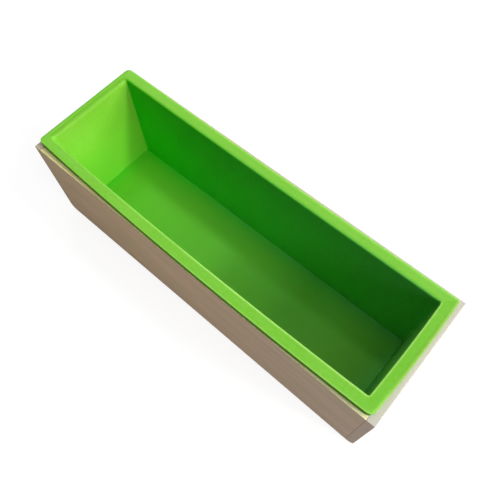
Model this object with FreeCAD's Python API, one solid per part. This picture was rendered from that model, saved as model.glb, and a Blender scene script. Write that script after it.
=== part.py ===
"""Soap loaf mould: a soft silicone liner that drops into a nailed wooden box.

Frame: the origin is at the centre of the box's bottom face, +Z is up, X runs
along the length and the front side board faces -Y. Lengths are in millimetres.
"""

import FreeCAD, Part
import math
import os

# Wooden box, outside sizes
BOX_LENGTH = 280.0
BOX_WIDTH = 90.0
BOX_HEIGHT = 80.0
BOARD = 5.5                 # thickness of all five boards
CORNER_ROUND = 5.0          # round-over on the lower outer edge of each end board
SANDED = 0.5                # radius sanded on the other outside edges
JOINT_ARRIS = 0.3           # bevel that leaves a fine groove where two boards meet

# Silicone liner
LIP_LENGTH = 275.8
LIP_WIDTH = 84.4
LIP_THICKNESS = 5.0         # the lip lies on the top edges of the boards
LIP_CORNER = 4.0
BODY_GAP_X = 0.5            # room between the liner and each end board
BODY_GAP_Y = 0.8            # room between the liner and each side board
BODY_CORNER = 5.0
CAVITY_LENGTH = 261.0       # at the rim
CAVITY_WIDTH = 70.0
CAVITY_CORNER = 1.6
DRAFT = 3.0                 # how far each wall leans in from the rim to the floor
FLOOR_THICKNESS = 4.0
FLOOR_FILLET = 1.2
RIM_ROUND = 0.8             # rounding of the lip's inner and outer top edges

# Brads: small headed steel nails, punched just below the surface
BRAD_RADIUS = 0.6
BRAD_LENGTH = 16.0
HEAD_RADIUS = 1.0
HEAD_HEIGHT = 0.6
PUNCH_DEPTH = 0.2
CORNER_BRAD_HEIGHTS = (12.0, 40.0, 68.0)
BASE_BRAD_PLACES = (-115.0, -40.0, 40.0, 115.0)

# Places worked out from the sizes above
HALF_LENGTH = BOX_LENGTH / 2
HALF_WIDTH = BOX_WIDTH / 2
INSIDE_LENGTH = BOX_LENGTH - 2 * BOARD
INSIDE_WIDTH = BOX_WIDTH - 2 * BOARD
RIM_TOP = BOX_HEIGHT + LIP_THICKNESS
CAVITY_FLOOR = BOARD + FLOOR_THICKNESS

UP = FreeCAD.Vector(0, 0, 1)


def block(x_low, x_high, y_low, y_high, z_low, z_high):
    """A box between two opposite corners."""
    corner = FreeCAD.Vector(x_low, y_low, z_low)
    return Part.makeBox(x_high - x_low, y_high - y_low, z_high - z_low, corner)


def level(edge, z):
    """True if the edge lies flat at height z."""
    box = edge.BoundBox
    return abs(box.ZMin - z) < 0.01 and abs(box.ZMax - z) < 0.01


def runs_along(edge, axis):
    """True if the edge is parallel to the axis named 'x', 'y' or 'z'."""
    box = edge.BoundBox
    spans = {"x": box.XLength, "y": box.YLength, "z": box.ZLength}
    return all((spans[name] > 0.01) == (name == axis) for name in spans)


# ---------------------------------------------------------------- wooden box

def sanded_outline():
    """The whole box as one solid with its outside edges worn. Boards are cut to it."""
    outline = block(-HALF_LENGTH, HALF_LENGTH, -HALF_WIDTH, HALF_WIDTH, 0, BOX_HEIGHT)
    lower_ends = [e for e in outline.Edges if level(e, 0) and runs_along(e, "y")]
    outline = outline.makeFillet(CORNER_ROUND, lower_ends)
    top_edges = [e for e in outline.Edges if level(e, BOX_HEIGHT)]
    upright_edges = [e for e in outline.Edges if runs_along(e, "z")]
    long_lower_edges = [e for e in outline.Edges if level(e, 0) and runs_along(e, "x")]
    worn = top_edges + upright_edges + long_lower_edges
    round_corners = [e for e in outline.Edges if isinstance(e.Curve, Part.Circle)]
    return outline.makeFillet(SANDED, worn + round_corners)


def bevel_at_joint(board, side):
    """Bevels a side board's outer and top edges where they meet the end boards."""
    outer_y = side * HALF_WIDTH
    for end in (-1, 1):
        x = end * INSIDE_LENGTH / 2
        upright = Part.makePolygon([
            FreeCAD.Vector(x, outer_y, 0),
            FreeCAD.Vector(x - end * JOINT_ARRIS, outer_y, 0),
            FreeCAD.Vector(x, outer_y - side * JOINT_ARRIS, 0),
            FreeCAD.Vector(x, outer_y, 0)])
        board = board.cut(Part.Face(upright).extrude(UP * BOX_HEIGHT))
        across = Part.makePolygon([
            FreeCAD.Vector(x, outer_y, BOX_HEIGHT),
            FreeCAD.Vector(x - end * JOINT_ARRIS, outer_y, BOX_HEIGHT),
            FreeCAD.Vector(x, outer_y, BOX_HEIGHT - JOINT_ARRIS),
            FreeCAD.Vector(x, outer_y, BOX_HEIGHT)])
        inward = FreeCAD.Vector(0, -side * BOARD, 0)
        board = board.cut(Part.Face(across).extrude(inward))
    return board


def side_board(side, outline, brads):
    """A long board between the end boards. side is -1 at the front, 1 at the rear."""
    y_low, y_high = sorted((side * HALF_WIDTH, side * INSIDE_WIDTH / 2))
    board = block(-INSIDE_LENGTH / 2, INSIDE_LENGTH / 2, y_low, y_high, 0, BOX_HEIGHT)
    board = bevel_at_joint(board.common(outline), side)
    return board.cut(brads)


def end_board(end, outline, brads):
    """A board that covers the side boards' ends. end is -1 at the left, 1 at the right."""
    x_low, x_high = sorted((end * HALF_LENGTH, end * INSIDE_LENGTH / 2))
    board = block(x_low, x_high, -HALF_WIDTH, HALF_WIDTH, 0, BOX_HEIGHT)
    return board.common(outline).cut(brads)


def base_board(brads):
    """The bottom board, which fits inside the four walls and is level with their lower edges."""
    board = block(-INSIDE_LENGTH / 2, INSIDE_LENGTH / 2,
                  -INSIDE_WIDTH / 2, INSIDE_WIDTH / 2, 0, BOARD)
    return board.cut(brads)


# --------------------------------------------------------------------- brads

def brad(surface_point, inward):
    """One brad driven at surface_point, and the hole that it leaves with its punch mark."""
    top = surface_point + inward * PUNCH_DEPTH
    head = Part.makeCylinder(HEAD_RADIUS, HEAD_HEIGHT, top, inward)
    shank = Part.makeCylinder(BRAD_RADIUS, BRAD_LENGTH, top, inward)
    nail = head.fuse(shank).removeSplitter()
    mark = Part.makeCylinder(HEAD_RADIUS, PUNCH_DEPTH, surface_point, inward)
    return nail, nail.fuse(mark).removeSplitter()


def corner_brads():
    """Brads through the end boards into the ends of the side boards."""
    driven = []
    for end in (-1, 1):
        for side in (-1, 1):
            for height in CORNER_BRAD_HEIGHTS:
                y = side * (HALF_WIDTH - BOARD / 2)
                place = FreeCAD.Vector(end * HALF_LENGTH, y, height)
                driven.append(brad(place, FreeCAD.Vector(-end, 0, 0)))
    return driven


def base_brads():
    """Brads through the side boards into the long edges of the base board."""
    driven = []
    for side in (-1, 1):
        for x in BASE_BRAD_PLACES:
            place = FreeCAD.Vector(x, side * HALF_WIDTH, BOARD / 2)
            driven.append(brad(place, FreeCAD.Vector(0, -side, 0)))
    return driven


# --------------------------------------------------------------------- liner

def rounded_outline(length, width, radius, z):
    """A closed wire: a rectangle with round corners at height z, centred on the origin."""
    half_x = length / 2
    half_y = width / 2
    edges = []
    for quarter in range(4):
        start = math.radians(90 * quarter)
        middle = start + math.radians(45)
        stop = start + math.radians(90)
        sign_x = 1 if quarter in (0, 3) else -1
        sign_y = 1 if quarter in (0, 1) else -1
        centre_x = sign_x * (half_x - radius)
        centre_y = sign_y * (half_y - radius)
        points = [FreeCAD.Vector(centre_x + radius * math.cos(a),
                                 centre_y + radius * math.sin(a), z)
                  for a in (start, middle, stop)]
        if edges:
            previous = edges[-1].Vertexes[-1].Point
            edges.append(Part.LineSegment(previous, points[0]).toShape())
        edges.append(Part.Arc(*points).toShape())
    last = edges[-1].Vertexes[-1].Point
    first = edges[0].Vertexes[0].Point
    edges.append(Part.LineSegment(last, first).toShape())
    return Part.Wire(edges)


def drafted(length, width, radius, z_low, z_high):
    """A solid whose top has the given outline and whose walls lean in by DRAFT towards the bottom."""
    lower = rounded_outline(length - 2 * DRAFT, width - 2 * DRAFT, radius, z_low)
    upper = rounded_outline(length, width, radius, z_high)
    return Part.makeLoft([lower, upper], True, True)


def silicone_liner():
    """The liner: a tapered tub that stands on the base board and hangs by its lip."""
    body = drafted(INSIDE_LENGTH - 2 * BODY_GAP_X, INSIDE_WIDTH - 2 * BODY_GAP_Y,
                   BODY_CORNER, BOARD, BOX_HEIGHT)
    lip_outline = rounded_outline(LIP_LENGTH, LIP_WIDTH, LIP_CORNER, BOX_HEIGHT)
    lip = Part.Face(lip_outline).extrude(UP * LIP_THICKNESS)
    cavity = drafted(CAVITY_LENGTH, CAVITY_WIDTH, CAVITY_CORNER, CAVITY_FLOOR, RIM_TOP)
    liner = body.fuse(lip).cut(cavity).removeSplitter()
    floor_edges = [e for e in liner.Edges if level(e, CAVITY_FLOOR)]
    liner = liner.makeFillet(FLOOR_FILLET, floor_edges)
    rim_edges = [e for e in liner.Edges if level(e, RIM_TOP)]
    return liner.makeFillet(RIM_ROUND, rim_edges)


# --------------------------------------------------------------------- parts

def build():
    """Returns every node's shape by name."""
    outline = sanded_outline()
    corner_set = corner_brads()
    base_set = base_brads()
    holes = Part.makeCompound([hole for _, hole in corner_set + base_set])
    return {
        "silicone_liner": silicone_liner(),
        "front_side_board": side_board(-1, outline, holes),
        "rear_side_board": side_board(1, outline, holes),
        "left_end_board": end_board(-1, outline, holes),
        "right_end_board": end_board(1, outline, holes),
        "base_board": base_board(holes),
        "corner_brads": Part.makeCompound([nail for nail, _ in corner_set]),
        "base_brads": Part.makeCompound([nail for nail, _ in base_set]),
    }


os.makedirs("parts", exist_ok=True)
for name, shape in build().items():
    shape.exportStep(f"parts/{name}.step")
    box = shape.BoundBox
    print(f"{name}: solids {len(shape.Solids)}, valid {shape.isValid()}, volume {shape.Volume:.1f} mm3, "
          f"x {box.XMin:.2f}..{box.XMax:.2f}, y {box.YMin:.2f}..{box.YMax:.2f}, "
          f"z {box.ZMin:.2f}..{box.ZMax:.2f}")
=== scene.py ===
"""Soap loaf mould: a lime silicone liner in a wooden box. Lengths are in metres, angles in degrees."""

import math

import bpy
from mathutils import Matrix, Vector


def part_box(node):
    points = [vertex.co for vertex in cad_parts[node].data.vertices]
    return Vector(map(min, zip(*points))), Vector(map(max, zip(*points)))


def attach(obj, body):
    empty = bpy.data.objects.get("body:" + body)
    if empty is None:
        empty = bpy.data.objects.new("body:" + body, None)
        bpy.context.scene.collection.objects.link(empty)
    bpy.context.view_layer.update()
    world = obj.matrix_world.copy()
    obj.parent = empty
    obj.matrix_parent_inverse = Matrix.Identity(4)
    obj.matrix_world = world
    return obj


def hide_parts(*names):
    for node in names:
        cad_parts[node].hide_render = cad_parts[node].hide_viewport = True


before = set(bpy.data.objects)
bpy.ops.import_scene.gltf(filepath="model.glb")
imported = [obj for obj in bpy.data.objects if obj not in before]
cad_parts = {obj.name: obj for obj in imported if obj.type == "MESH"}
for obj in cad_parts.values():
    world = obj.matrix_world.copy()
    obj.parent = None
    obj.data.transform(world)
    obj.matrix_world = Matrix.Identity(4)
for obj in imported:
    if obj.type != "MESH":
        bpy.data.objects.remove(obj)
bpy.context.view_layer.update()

MM = 0.001

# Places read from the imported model
LINER_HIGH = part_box("silicone_liner")[1]
BOARD_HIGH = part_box("front_side_board")[1]
BASE_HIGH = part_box("base_board")[1]

# Camera: where it looks, and from where
LOOK_AT = Vector((9.7 * MM, 4.6 * MM, 39.9 * MM))
AZIMUTH = 44.1
ELEVATION = 63.95
ROLL = -3.4
DISTANCE = 365.1 * MM
LENS_MM = 38.03
SENSOR_MM = 36.0


def heading(azimuth, elevation):
    """Unit vector towards a point seen at this azimuth (0 is -Y, 90 is +X) and elevation."""
    a = math.radians(azimuth)
    e = math.radians(elevation)
    return Vector((math.sin(a) * math.cos(e), -math.cos(a) * math.cos(e), math.sin(e)))


def make_camera():
    """The camera, high up by the near right corner and slightly rolled."""
    data = bpy.data.cameras.new("camera")
    data.lens = LENS_MM
    data.sensor_width = SENSOR_MM
    data.clip_start = 0.01
    camera = bpy.data.objects.new("camera", data)
    bpy.context.scene.collection.objects.link(camera)
    back = heading(AZIMUTH, ELEVATION)
    right = Vector((0, 0, 1)).cross(back).normalized()
    up = back.cross(right)
    turn = Matrix((right, up, back)).transposed() @ Matrix.Rotation(math.radians(ROLL), 3, "Z")
    camera.matrix_world = Matrix.Translation(LOOK_AT + back * DISTANCE) @ turn.to_4x4()
    bpy.context.scene.camera = camera


# ------------------------------------------------------------ shader helpers

class Shader:
    """A node material that is written one node at a time."""

    def __init__(self, name):
        self.material = bpy.data.materials.new(name)
        self.material.use_nodes = True
        self.tree = self.material.node_tree
        self.surface = self.tree.nodes["Principled BSDF"]
        self.object_place = self.add("ShaderNodeTexCoord").outputs["Object"]

    def add(self, kind, inputs=None, **settings):
        """Adds a node. inputs maps a socket to a value or to another node's output."""
        node = self.tree.nodes.new(kind)
        for setting, value in settings.items():
            setattr(node, setting, value)
        for socket, value in (inputs or {}).items():
            self.feed(node.inputs[socket], value)
        return node

    def feed(self, socket, value):
        """Sets a socket to a value, or links an output to it."""
        if isinstance(value, bpy.types.NodeSocket):
            self.tree.links.new(value, socket)
        else:
            socket.default_value = value

    def scaled(self, scale, shift=(0, 0, 0)):
        """The object's own coordinates, stretched by scale and moved by shift."""
        inputs = {"Vector": self.object_place, "Scale": scale, "Location": shift}
        return self.add("ShaderNodeMapping", inputs).outputs["Vector"]

    def noise(self, place, scale, detail=3.0, roughness=0.5):
        """Soft noise from 0 to 1."""
        inputs = {"Vector": place, "Scale": scale, "Detail": detail, "Roughness": roughness}
        return self.add("ShaderNodeTexNoise", inputs).outputs["Fac"]

    def spread(self, value, low, high, to_low=0.0, to_high=1.0):
        """value from low..high turned into to_low..to_high, and kept inside it."""
        inputs = {"Value": value, "From Min": low, "From Max": high, "To Min": to_low, "To Max": to_high}
        return self.add("ShaderNodeMapRange", inputs).outputs["Result"]

    def mix(self, share, first, second, blend="MIX"):
        """Two colours mixed by share."""
        node = self.add("ShaderNodeMix", data_type="RGBA", blend_type=blend)
        colours = {0: share, 6: first, 7: second}
        for index, value in colours.items():
            self.feed(node.inputs[index], value)
        return node.outputs[2]

    def math(self, first, second, operation="ADD"):
        """Arithmetic on two numbers."""
        return self.add("ShaderNodeMath", {0: first, 1: second}, operation=operation).outputs[0]

    def band(self, value, middle, half, fade):
        """1 where value is within half of middle, falling to 0 over the distance fade."""
        away = self.math(self.math(value, middle, "SUBTRACT"), 0.0, "ABSOLUTE")
        return self.spread(away, half, half + fade, 1.0, 0.0)

    def bump(self, height, distance, strength=1.0, after=None):
        """A bump of the given height. after is an earlier bump that it lies on."""
        inputs = {"Height": height, "Distance": distance, "Strength": strength}
        if after is not None:
            inputs["Normal"] = after
        return self.add("ShaderNodeBump", inputs).outputs["Normal"]


# ----------------------------------------------------------------- materials

TONE = "tone"       # name of the liner's mesh attribute that picks its colour, with its painted light and shade

# The silicone's colours by tone, which paint light and shade: below 0 is painted shade, above 0 a painted
# highlight. The green of the shade turns greyer from left to right.
DARK_SHADE = (0.085, 0.185, 0.002, 1)           # tone -2, painted deep shade on the outside of the lip
SHADE_GREEN_LEFT = (0.015, 0.600, 0.008, 1)        # tone -1, the green of painted shade
SHADE_GREEN_RIGHT = (0.110, 0.590, 0.130, 1)
SHADE_GREEN_TURN = (-120 * MM, 120 * MM)           # where along X the one turns into the other
PLAIN = (0.166, 0.515, 0.027, 1)            # tone 0
PAINTED_HIGHLIGHT = (0.360, 0.715, 0.140, 1)             # tone 1, a painted highlight on the edges

# Painted shade darkens the lip's outer edge at the right end, and its inner edge at the left end.
SHADE_TINT = (0.800, 0.680, 0.550, 1)             # painted shade; it multiplies the colour
OUTER_SHADE = (134.2 * MM, 136.0 * MM)       # where along X it begins and is full
INNER_SHADE_X = (-132.3 * MM, 1.0 * MM, 1.8 * MM)    # middle, half of the width, and fade
INNER_SHADE_Y = (0.0, 30 * MM, 6 * MM)
INNER_SHADE_SHARE = 0.75


def silicone_material():
    """Lime silicone: satin, a little translucent and cloudy. Its colour is set by the mesh's tone, which
    paints light and shade, and by painted shade at two edges.
    """
    s = Shader("lime_silicone")
    tone = s.add("ShaderNodeAttribute", attribute_name=TONE).outputs["Fac"]
    tone = s.math(tone, s.spread(s.noise(s.object_place, 16.0), 0.3, 0.7, -0.07, 0.07))
    tone = s.math(tone, s.spread(s.noise(s.object_place, 480.0, 2.0), 0.3, 0.7, -0.06, 0.06))
    place = s.add("ShaderNodeSeparateXYZ", {0: s.object_place}).outputs
    shade_green = s.mix(s.spread(place["X"], *SHADE_GREEN_TURN), SHADE_GREEN_LEFT, SHADE_GREEN_RIGHT)
    colour = s.mix(s.spread(tone, -2.0, -1.0), DARK_SHADE, shade_green)
    colour = s.mix(s.spread(tone, -1.0, 0.0), colour, PLAIN)
    colour = s.mix(s.spread(tone, 0.0, 1.0), colour, PAINTED_HIGHLIGHT)
    shaded = s.mix(1.0, colour, SHADE_TINT, "MULTIPLY")
    outer = s.spread(place["X"], *OUTER_SHADE)
    inner = s.math(s.band(place["X"], *INNER_SHADE_X), s.band(place["Y"], *INNER_SHADE_Y), "MULTIPLY")
    colour = s.mix(s.math(outer, s.math(inner, INNER_SHADE_SHARE, "MULTIPLY")), colour, shaded)
    s.feed(s.surface.inputs["Base Color"], colour)
    satin = s.spread(s.noise(s.object_place, 60.0), 0.3, 0.7, 0.42, 0.52)
    s.feed(s.surface.inputs["Roughness"], s.spread(tone, -1.9, -1.2, 0.9, satin))
    s.surface.inputs["Specular IOR Level"].default_value = 0.22
    grain = s.bump(s.noise(s.object_place, 2600.0, 2.0), 0.03 * MM, 0.5)
    swell = s.bump(s.noise(s.object_place, 30.0, 1.0), 0.25 * MM, 1.0, grain)
    s.feed(s.surface.inputs["Normal"], swell)
    s.surface.inputs["IOR"].default_value = 1.41
    s.surface.inputs["Subsurface Weight"].default_value = 0.25
    s.surface.inputs["Subsurface Radius"].default_value = (0.6, 1.0, 0.25)
    s.surface.inputs["Subsurface Scale"].default_value = 2.0 * MM
    return s.material


# Marks on the wood. Stains and weathering multiply its colour, and the other shares darken it as painted
# shade.
DULL_STAIN = (0.92, 0.95, 0.90, 1)
WARM_STAIN = (1.05, 1.00, 1.03, 1)
WEATHERING = (0.98, 1.04, 1.30, 1)
WEATHERED = (-60 * MM, 130 * MM)            # where along X the weathering begins and is full
SHADE_PATCH_LEAN = 1.6                             # the edge of the painted shade at the lower left leans: it follows X plus this share of Z
SHADE_PATCH = (-90 * MM, 60 * MM, 0.28, 0.0)       # where the painted shade is full and where it ends, and its share at each
FOOT_SHADE = (2.6 * MM, 0.4 * MM, 0.0, 0.7)     # painted shade along the foot: where along Z it begins and is full, and its share at each


def wood_material(name, along, pale, dark, sawn_and_lit, shift):
    """Bare sanded softwood. along is 'X' or 'Y', the way that the grain runs.

    The three colours are the grain's two bands and the board's narrow edges facing up or down: sawn wood,
    and on the front board painted light.
    """
    s = Shader(name)
    stretch = {"X": (1.0, 16.0, 16.0), "Y": (16.0, 1.0, 16.0)}[along]
    figure = s.add("ShaderNodeTexWave", {
        "Vector": s.scaled(stretch, shift), "Scale": 1.6, "Distortion": 7.0, "Detail": 2.0,
        "Detail Scale": 0.7}, bands_direction="Z").outputs["Fac"]
    fibre = s.noise(s.scaled([v * 30.0 for v in stretch], shift), 1.0, 4.0, 0.6)
    streak = s.noise(s.scaled([v * 5.0 for v in stretch], shift), 1.0, 3.0, 0.55)
    tone = s.math(s.math(figure, 0.2, "MULTIPLY"), s.math(streak, 0.8, "MULTIPLY"))
    facing = s.add("ShaderNodeSeparateXYZ", {0: s.add("ShaderNodeNewGeometry").outputs["Normal"]})
    edge = s.spread(s.math(facing.outputs["Z"], 2.0, "POWER"), 0.2, 0.7)
    light_band = s.mix(edge, pale, sawn_and_lit)
    dark_band = s.mix(edge, dark, tinted(sawn_and_lit, 0.92))
    colour = s.mix(s.spread(tone, 0.25, 0.75), light_band, dark_band)
    colour = s.mix(s.spread(fibre, 0.42, 0.75, 0.0, 0.12), colour, tinted(dark, 0.72))
    blotch = s.spread(s.noise(s.scaled([math.sqrt(v) for v in stretch], shift), 26.0, 3.0), 0.34, 0.66)
    stain = s.mix(blotch, DULL_STAIN, WARM_STAIN)
    colour = s.mix(1.0, colour, stain, "MULTIPLY")
    end_grain = s.spread(s.math(facing.outputs[along], 2.0, "POWER"), 0.6, 0.9)
    rings = s.noise(s.scaled((900, 900, 900), shift), 1.0, 3.0, 0.7)
    end_colour = s.mix(s.spread(rings, 0.35, 0.65), tinted(pale, 1.20), tinted(dark, 1.14))
    colour = s.mix(end_grain, colour, end_colour)
    place = s.add("ShaderNodeSeparateXYZ", {0: s.object_place}).outputs
    weathered = s.mix(1.0, colour, WEATHERING, "MULTIPLY")
    colour = s.mix(s.spread(place["X"], *WEATHERED), colour, weathered)
    # painted shade, darker towards the lower left of each board's faces
    shade_patch = s.spread(s.math(place["X"], s.math(place["Z"], SHADE_PATCH_LEAN, "MULTIPLY")), *SHADE_PATCH)
    colour = s.mix(s.math(shade_patch, s.math(1.0, edge, "SUBTRACT"), "MULTIPLY"), colour, tinted(dark, 0.5))
    # painted shade, darker along each board's foot
    colour = s.mix(s.spread(place["Z"], *FOOT_SHADE), colour, tinted(dark, 0.35))
    s.feed(s.surface.inputs["Base Color"], colour)
    s.feed(s.surface.inputs["Roughness"], s.spread(streak, 0.3, 0.7, 0.58, 0.74))
    s.surface.inputs["Specular IOR Level"].default_value = 0.35
    relief = s.bump(fibre, 0.06 * MM, 0.5)
    s.feed(s.surface.inputs["Normal"], s.bump(tone, 0.06 * MM, 0.2, relief))
    return s.material


def tinted(colour, share):
    """The colour made darker or lighter."""
    return [c * share for c in colour[:3]] + [1]


STEEL = (0.50, 0.50, 0.51, 1)
TARNISH = (0.24, 0.22, 0.20, 1)


def steel_material():
    """Dull zinc-coated steel of the brad heads."""
    s = Shader("brad_steel")
    stain = s.spread(s.noise(s.object_place, 900.0, 3.0), 0.35, 0.7)
    s.feed(s.surface.inputs["Base Color"], s.mix(stain, STEEL, TARNISH))
    s.feed(s.surface.inputs["Roughness"], s.spread(stain, 0.0, 1.0, 0.32, 0.55))
    s.feed(s.surface.inputs["Normal"], s.bump(s.noise(s.object_place, 2500.0), 0.03 * MM, 0.5))
    s.surface.inputs["Metallic"].default_value = 1.0
    return s.material


GROUND_GLOW = 0.86
MIRRORED_GLOW = 0.15            # the ground's glow as the mould reflects it


def ground_material():
    """The pale ground: a white sheet lit from below, so that shadows on it stay faint."""
    s = Shader("ground")
    s.feed(s.surface.inputs["Base Color"],
           s.mix(s.noise(s.object_place, 6.0), (0.19, 0.19, 0.19, 1), (0.21, 0.21, 0.21, 1)))
    s.surface.inputs["Roughness"].default_value = 0.9
    s.surface.inputs["Specular IOR Level"].default_value = 0.1
    s.surface.inputs["Emission Color"].default_value = (1, 1, 1, 1)
    mirrored = s.add("ShaderNodeLightPath").outputs["Is Glossy Ray"]
    s.feed(s.surface.inputs["Emission Strength"], s.spread(mirrored, 0.0, 1.0, GROUND_GLOW, MIRRORED_GLOW))
    return s.material


# --------------------------------------------------------------------- liner

# Each set of four is for the front, right, rear and left side. A reach is a side's distance from
# the box's middle, and the liner lies a little off it because it is loose.
LIP_REACH = (44.55 * MM, 137.1 * MM, 41.7 * MM, 138.3 * MM)
RIM_REACH = (37.0 * MM, 129.2 * MM, 33.0 * MM, 131.2 * MM)
FLOOR_REACH = (32.5 * MM, 126.5 * MM, 31.0 * MM, 128.1 * MM)
BODY_REACH = (38.9 * MM, 133.6 * MM, 38.6 * MM, 134.2 * MM)
BODY_DRAFT = 3.0 * MM
LIP_ROUND = (0.3 * MM, 1.6 * MM, 1.6 * MM, 1.4 * MM)      # lip's outer top edges
RIM_ROUND = (0.5 * MM, 0.4 * MM, 1.0 * MM, 2.8 * MM)      # edges between the lip's top and the cavity
UNDER_ROUND = 0.3 * MM          # lip's outer lower edges
FLOOR_ROUND = 0.3 * MM
FOOT_ROUND = 2.5 * MM           # edge between the outside walls and the underside
LIP_CORNER = (4.0 * MM, 2.0 * MM, 4.0 * MM, 4.0 * MM)     # each is between its side and the next
CAVITY_CORNER = 1.2 * MM
BODY_CORNER = 5.0 * MM
SMALLEST_CORNER = 0.15 * MM     # of any ring, so that its points stay apart
FLOOR_THICKNESS = 4.0 * MM
LIP_GAP = 0.04 * MM             # air between the lip and the boards

# The bow of the liner's long sides and of its right side
LIP_BOW_PLACE = 20 * MM         # where along X the lip's long sides bow most
CAVITY_BOW_PLACE = 3 * MM       # and the cavity's
RIGHT_BOW_PLACE = 8 * MM        # where along Y the right side does
BULGE_LONG = 0.12               # how fast a side falls back from there, per metre
BULGE_RIGHT = 0.45
REAR_SHARE = 0.3                # the rear side's bow as a share of the front side's
LIP_BOW = 1.15                  # the lip's bow as a share of the cavity's at its rim
BODY_BOW = 0.5                  # and the outer body's at its top

# Tones of the silicone for the same four sides, which paint light and shade: 1 is a pale painted highlight,
# -1 the green of painted shade, -2 painted deep shade
SIDE_TONE = (-2.0, 0.3, 0.2, -0.3)      # lip's outer side, painted deep shade at the front
EDGE_TONE = (0.6, 0.3, 0.5, -0.1)       # lip's outer top edges, with a painted highlight
LIP_TONE = (0.15, 0.1, 0.25, 0.15)      # lip's top, with a little painted sheen
INNER_EDGE_TONE = (1.1, 1.1, -0.4, 0.0)     # edges between the lip's top and the cavity, with a painted highlight at the front and right
WALL_TONE = (0.0, -1.6, -1.0, 0.12)     # cavity's walls near the top, with painted shade on the right and rear
FOOT_TONE = (0.0, -1.6, -1.0, -0.2)     # and near the floor
CREASE_TONE = (-0.8, -1.6, -1.3, -0.3)  # round the floor's edge, painted shade in the crease
FLOOR_TONE = (0.1, -0.5, -0.7, -0.5)    # floor near the walls, painted shade
FLOOR_MIDDLE_TONE = -0.2
FADING_TONE = 0.2               # painted highlights above this tone fade down to it towards the left end
FADE_START = -110 * MM          # where along X they are gone
FADE_RUN = 140 * MM             # and how far from there they are full

LONG_STEPS = 60                 # mesh steps along each side of the outline
SHORT_STEPS = 20
CORNER_STEPS = 7
ARC_STEPS = 6                   # mesh steps round each rounded edge
WALL_STEPS = 8

# Extra rings beside the rounded edges, which keep the flat faces flat
BODY_MARGIN = 0.6 * MM
LIP_MARGIN = 0.4 * MM
LIP_TOP_MARGIN = 1.0 * MM
RIM_MARGIN = 0.3 * MM
WALL_MARGIN = 1.5 * MM
CREASE_MARGIN = 0.4 * MM
FLOOR_MARGIN = 1.4 * MM
FLOOR_SHADE = 7 * MM            # where the floor's tone is most of the way to its middle's
JOIN_BELOW = 0.05 * MM                          # rings close to where the body joins the lip
JOIN_BESIDE = (0.1 * MM, 0.5 * MM)
UNDERSIDE_DEPTHS = (30 * MM, 15 * MM)           # rings on the underside, in from the body's side
FLOOR_DEPTHS = (15 * MM, 22 * MM, 28 * MM)      # rings on the cavity's floor, in from its wall

RIM_TOP = LINER_HIGH.z
LIP_UNDERSIDE = BOARD_HIGH.z + LIP_GAP
FOOT = BASE_HIGH.z
CAVITY_FLOOR = FOOT + FLOOR_THICKNESS

# Outward direction and mesh steps of the four sides, counter-clockwise from the front
SIDES = (((0, -1), LONG_STEPS), ((1, 0), SHORT_STEPS), ((0, 1), LONG_STEPS), ((-1, 0), SHORT_STEPS))


def four(value):
    """The same value for all four sides, unless there are four already."""
    return value if isinstance(value, tuple) else (value,) * 4


def between(first, second, share):
    """Four values part of the way from one set to another."""
    return tuple(a + (b - a) * share for a, b in zip(four(first), four(second)))


def less(values, amounts, share=1.0):
    """Four distances, each less a share of its own amount."""
    return tuple(value - amount * share for value, amount in zip(four(values), four(amounts)))


def arc(steps):
    """(cosine, sine) from 0 to 90 degrees, ends included."""
    angles = [math.radians(90 * i / steps) for i in range(steps + 1)]
    return [(math.cos(a), math.sin(a)) for a in angles]


class Level:
    """One closed ring of the liner's surface: a rectangle with round corners and bowed sides."""

    def __init__(self, reach, corner, height, bow, bow_place, tone):
        self.reach = reach
        self.bow_place = bow_place
        self.corner = tuple(max(value, SMALLEST_CORNER) for value in four(corner))
        self.height = four(height)
        self.bow = bow
        self.tone = four(tone)

    def corner_middle(self, side):
        """The middle of the round corner between a side and the next."""
        first = SIDES[side][0]
        second = SIDES[(side + 1) % 4][0]
        run_1 = self.reach[side] - self.corner[side]
        run_2 = self.reach[(side + 1) % 4] - self.corner[side]
        return Vector((first[0] * run_1 + second[0] * run_2, first[1] * run_1 + second[1] * run_2))

    def outline(self):
        """(place, side, share of the next side) for each point of the ring, before the bow."""
        for side, (outwards, steps) in enumerate(SIDES):
            out = Vector(outwards)
            towards = Vector(SIDES[(side + 1) % 4][0])
            before = (side + 3) % 4
            start = self.corner_middle(before) + out * self.corner[before]
            stop = self.corner_middle(side) + out * self.corner[side]
            for step in range(steps):
                yield start.lerp(stop, step / steps), side, 0.0
            for step in range(CORNER_STEPS):
                turn = math.radians(90 * step / CORNER_STEPS)
                spoke = out * math.cos(turn) + towards * math.sin(turn)
                yield self.corner_middle(side) + spoke * self.corner[side], side, step / CORNER_STEPS

    def height_at(self, side, share):
        """The height on a side, or between it and the next side's in a round corner."""
        return self.height[side] * (1 - share) + self.height[(side + 1) % 4] * share

    def points(self):
        """The ring's points in the row frame."""
        front, right, rear, left = self.reach
        placed = []
        for place, side, share in self.outline():
            x, y = place
            long_bow = self.bow * BULGE_LONG * (x - self.bow_place) ** 2
            frontness = REAR_SHARE + (1 - REAR_SHARE) * (rear - y) / (rear + front)
            end_bow = self.bow * BULGE_RIGHT * (y - RIGHT_BOW_PLACE) ** 2
            rightness = (x + left) / (right + left)
            z = self.height_at(side, share)
            placed.append((x - end_bow * rightness, y + long_bow * frontness, z))
        return placed

    def tones(self):
        """The tone at each of the ring's points. The painted highlights fade out towards the left end."""
        placed = []
        for (x, _), side, share in self.outline():
            tone = self.tone[side if share < 0.5 else (side + 1) % 4]
            fade = min(max((x - FADE_START) / FADE_RUN, 0.0), 1.0)
            placed.append(min(tone, FADING_TONE + max(tone - FADING_TONE, 0.0) * fade))
        return placed


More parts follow.
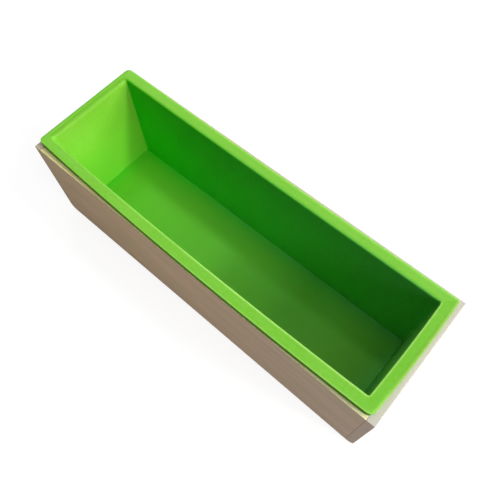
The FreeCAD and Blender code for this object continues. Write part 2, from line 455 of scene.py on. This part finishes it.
def liner_levels():
    """Every ring of the liner, from the middle of its underside, up the outside and down the inside."""
    levels = []

    def outside(depth, z, tone=0.0):
        """A ring of the outer body at height z, drawn in by depth."""
        rise = (z - FOOT) / (BOARD_HIGH.z - FOOT)
        reach = less(BODY_REACH, BODY_DRAFT * (1 - rise) + depth)
        levels.append(Level(reach, BODY_CORNER - depth, z, BODY_BOW * rise, LIP_BOW_PLACE, tone))

    def lip(depth, height, tone):
        """A ring of the lip's outer side or top, drawn in by depth."""
        reach = less(LIP_REACH, depth)
        levels.append(Level(reach, less(LIP_CORNER, depth), height, LIP_BOW, LIP_BOW_PLACE, tone))

    def inside(depth, height, tone):
        """A ring of the cavity, drawn in by depth from its wall. A depth below 0 is on the lip's top."""
        rise = (min(four(height)) - CAVITY_FLOOR) / (RIM_TOP - CAVITY_FLOOR)
        wall = between(FLOOR_REACH, RIM_REACH, rise)
        depths = four(depth)
        corner = tuple(CAVITY_CORNER - min(depths[side], depths[(side + 1) % 4]) for side in range(4))
        levels.append(Level(less(wall, depth), corner, height, rise, CAVITY_BOW_PLACE, tone))

    for depth in (*UNDERSIDE_DEPTHS, FOOT_ROUND + BODY_MARGIN):
        outside(depth, FOOT)
    for cosine, sine in arc(ARC_STEPS):
        outside(FOOT_ROUND * (1 - sine), FOOT + FOOT_ROUND * (1 - cosine))
    wall_low = FOOT + FOOT_ROUND + BODY_MARGIN
    wall_high = LIP_UNDERSIDE - BODY_MARGIN
    for step in range(WALL_STEPS + 1):
        outside(0.0, wall_low + (wall_high - wall_low) * step / WALL_STEPS)
    outside(0.0, LIP_UNDERSIDE - JOIN_BELOW)
    for margin in JOIN_BESIDE:
        outside(-margin, LIP_UNDERSIDE)
    lip(UNDER_ROUND + LIP_MARGIN, LIP_UNDERSIDE, SIDE_TONE)
    for cosine, sine in arc(ARC_STEPS):
        lip(UNDER_ROUND * (1 - sine), LIP_UNDERSIDE + UNDER_ROUND * (1 - cosine), SIDE_TONE)
    lip(0.0, LIP_UNDERSIDE + UNDER_ROUND + LIP_MARGIN, SIDE_TONE)
    lip(0.0, less(RIM_TOP - LIP_MARGIN, LIP_ROUND), SIDE_TONE)
    for index, (cosine, sine) in enumerate(arc(ARC_STEPS)):
        tone = between(SIDE_TONE, EDGE_TONE, min(2 * index / ARC_STEPS, 1.0))
        lip(less(0.0, LIP_ROUND, cosine - 1), less(RIM_TOP, LIP_ROUND, 1 - sine), tone)
    lip(less(LIP_MARGIN, LIP_ROUND, -1.0), RIM_TOP, between(EDGE_TONE, LIP_TONE, 0.4))
    lip(less(LIP_TOP_MARGIN, LIP_ROUND, -1.0), RIM_TOP, LIP_TONE)
    inside(less(-LIP_TOP_MARGIN, RIM_ROUND), RIM_TOP, LIP_TONE)
    inside(less(-RIM_MARGIN, RIM_ROUND), RIM_TOP, between(LIP_TONE, INNER_EDGE_TONE, 0.5))
    for index, (cosine, sine) in enumerate(arc(ARC_STEPS)):
        tone = between(INNER_EDGE_TONE, WALL_TONE, max(2 * index / ARC_STEPS - 1, 0.0))
        inside(less(0.0, RIM_ROUND, 1 - sine), less(RIM_TOP, RIM_ROUND, 1 - cosine), tone)
    inside(0.0, less(RIM_TOP - LIP_MARGIN, RIM_ROUND), WALL_TONE)
    wall_top = RIM_TOP - max(RIM_ROUND) - WALL_MARGIN
    wall_foot = CAVITY_FLOOR + FLOOR_ROUND + WALL_MARGIN
    for step in range(WALL_STEPS + 1):
        share = step / WALL_STEPS
        inside(0.0, wall_top + (wall_foot - wall_top) * share, between(WALL_TONE, FOOT_TONE, share))
    for cosine, sine in arc(ARC_STEPS):
        inside(FLOOR_ROUND * (1 - cosine), CAVITY_FLOOR + FLOOR_ROUND * (1 - sine), CREASE_TONE)
    inside(FLOOR_ROUND + CREASE_MARGIN, CAVITY_FLOOR, between(CREASE_TONE, FLOOR_TONE, 0.6))
    inside(FLOOR_ROUND + FLOOR_MARGIN, CAVITY_FLOOR, FLOOR_TONE)
    inside(FLOOR_ROUND + FLOOR_SHADE, CAVITY_FLOOR, between(FLOOR_TONE, FLOOR_MIDDLE_TONE, 0.6))
    for depth in FLOOR_DEPTHS:
        inside(FLOOR_ROUND + depth, CAVITY_FLOOR, FLOOR_MIDDLE_TONE)
    return levels


def make_liner(material):
    """The silicone liner as one closed mesh."""
    levels = liner_levels()
    rings = [level.points() for level in levels]
    count = len(rings[0])
    vertices = [point for ring in rings for point in ring]
    faces = []
    for ring in range(len(rings) - 1):
        low = ring * count
        high = low + count
        for i in range(count):
            j = (i + 1) % count
            faces.append((low + i, low + j, high + j, high + i))
    faces.append(tuple(reversed(range(count))))
    top = (len(rings) - 1) * count
    faces.append(tuple(range(top, top + count)))
    mesh = bpy.data.meshes.new("silicone_liner_soft")
    mesh.from_pydata(vertices, [], faces)
    tones = mesh.attributes.new(TONE, "FLOAT", "POINT")
    tones.data.foreach_set("value", [tone for level in levels for tone in level.tones()])
    mesh.validate()
    for polygon in mesh.polygons:
        polygon.use_smooth = True
    mesh.materials.append(material)
    liner = bpy.data.objects.new("silicone_liner_soft", mesh)
    bpy.context.scene.collection.objects.link(liner)
    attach(liner, "liner")
    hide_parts("silicone_liner")


# ------------------------------------------------------------- box and stage

def finish_node(name, material):
    """Gives a CAD node its material."""
    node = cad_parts[name]
    if not node.material_slots:
        node.data.materials.append(material)
    for place in node.material_slots:
        place.material = material


def finish_box():
    """The five boards and the brads keep their CAD shapes. A board's colours are pale, dark and its edges'
    colour; the front board's edge colour is painted light on its top edge, which lies in the lip's shade.
    """
    # the front board's third colour is painted light, much paler than the other boards' edges
    front = ((0.545, 0.375, 0.205, 1), (0.495, 0.340, 0.187, 1), (0.960, 0.905, 0.410, 1))
    rear = ((0.545, 0.375, 0.205, 1), (0.495, 0.340, 0.187, 1), (0.560, 0.510, 0.340, 1))
    end = ((0.440, 0.316, 0.192, 1), (0.390, 0.277, 0.167, 1), (0.650, 0.560, 0.410, 1))
    base = ((0.560, 0.420, 0.280, 1), (0.470, 0.340, 0.220, 1), (0.560, 0.420, 0.280, 1))
    boards = {
        "front_side_board": ("X", front, (0.31, 0.17, 0.05)),
        "rear_side_board": ("X", rear, (4.70, 2.90, 1.30)),
        "left_end_board": ("Y", end, (2.10, 5.30, 3.10)),
        "right_end_board": ("Y", end, (7.40, 0.60, 6.20)),
        "base_board": ("X", base, (1.90, 8.20, 2.70)),
    }
    for name, (along, (pale, dark, sawn_and_lit), shift) in boards.items():
        finish_node(name, wood_material(name + "_wood", along, pale, dark, sawn_and_lit, shift))
    steel = steel_material()
    finish_node("corner_brads", steel)
    finish_node("base_brads", steel)


def make_ground():
    """A large plane that the box stands on."""
    half = 3.0
    corners = [(-half, -half, 0), (half, -half, 0), (half, half, 0), (-half, half, 0)]
    mesh = bpy.data.meshes.new("ground")
    mesh.from_pydata(corners, [], [(0, 1, 2, 3)])
    mesh.materials.append(ground_material())
    ground = bpy.data.objects.new("ground", mesh)
    bpy.context.scene.collection.objects.link(ground)


# Soft lamps, far away: azimuth and elevation, the angle that the lamp looks across, and its strength
LAMPS = {
    "right_window": (90, 30, 30, 0.543),
    "right_window_foot": (90, 12, 30, 0.216),
    "right_window_edge": (100.5, 28, 5, 0.349),
    "right_ceiling": (90, 70, 30, 0.085),
    "far_right_window": (135, 30, 30, 0.610),
    "far_window": (180, 50, 30, 0.085),
    "far_left_wall": (225, 12, 30, 0.183),
    "left_wall": (270, 12, 30, 0.135),
    "left_ceiling": (270, 70, 30, 0.078),
    "ceiling_lamp": (228, 63, 5, 0.072),
}


def light_scene():
    """A row of soft lamps to the right and behind, like a window and pale walls, before a white backdrop."""
    for name, (azimuth, elevation, across, strength) in LAMPS.items():
        data = bpy.data.lights.new(name, "SUN")
        data.energy = math.pi * strength
        data.angle = math.radians(across)
        lamp = bpy.data.objects.new(name, data)
        lamp.rotation_mode = "QUATERNION"
        lamp.rotation_quaternion = heading(azimuth, elevation).to_track_quat("Z", "Y")
        bpy.context.scene.collection.objects.link(lamp)
    world = bpy.data.worlds.new("backdrop")
    world.use_nodes = True
    tree = world.node_tree
    backdrop = tree.nodes["Background"]
    backdrop.inputs["Color"].default_value = (1, 1, 1, 1)
    seen = tree.nodes.new("ShaderNodeLightPath").outputs["Is Camera Ray"]
    tree.links.new(seen, backdrop.inputs["Strength"])
    bpy.context.scene.world = world
    bpy.context.scene.view_settings.view_transform = "Standard"


make_camera()
make_liner(silicone_material())
finish_box()
make_ground()
light_scene()
